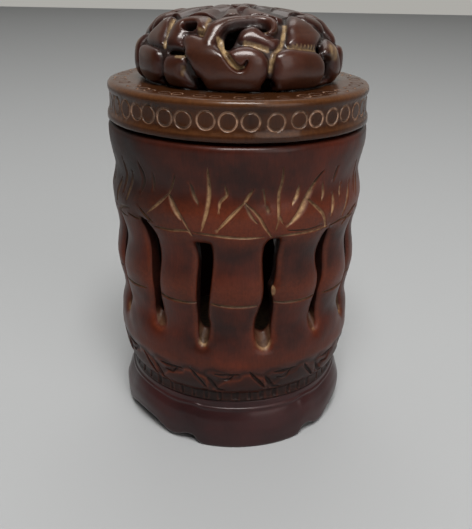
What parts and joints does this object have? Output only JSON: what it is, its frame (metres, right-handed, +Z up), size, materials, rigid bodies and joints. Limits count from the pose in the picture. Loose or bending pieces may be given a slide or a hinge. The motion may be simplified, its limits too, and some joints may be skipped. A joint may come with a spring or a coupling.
{
  "type": "lidded brush pot",
  "caption": "Lidded round pot of carved bamboo for writing brushes, with tall slots through its wall, a scalloped foot and a lift-off lid with an openwork dome.",
  "frame": {"origin": "centre of the foot's underside, on the surface the pot stands on", "axes": "+Z up along the pot's own axis, -Y towards the front view"},
  "size_m": [0.0924, 0.0924, 0.1518],
  "materials": {
    "stained_bamboo": "dark red-brown stain, waxed, satin",
    "dome_wood": "dark red-brown stain, polished by handling",
    "lid_bamboo": "milk-brown stain, satin",
    "foot_wood": "maroon stain, satin",
    "raw_bamboo": "unstained, matt"
  },
  "bodies": {
    "pot": {"foot_ring": "foot_wood", "floor_disc": "raw_bamboo", "pot_wall": "stained_bamboo"},
    "lid": {"lid_ring": "lid_bamboo", "lid_spigot": "raw_bamboo", "lid_dome": "dome_wood"}
  },
  "joints": [
    {"name": "lid_lift", "type": "slide", "parent": "pot", "child": "lid", "axis": [0, 0, 1], "range_m": [0, 0.06]}
  ]
}
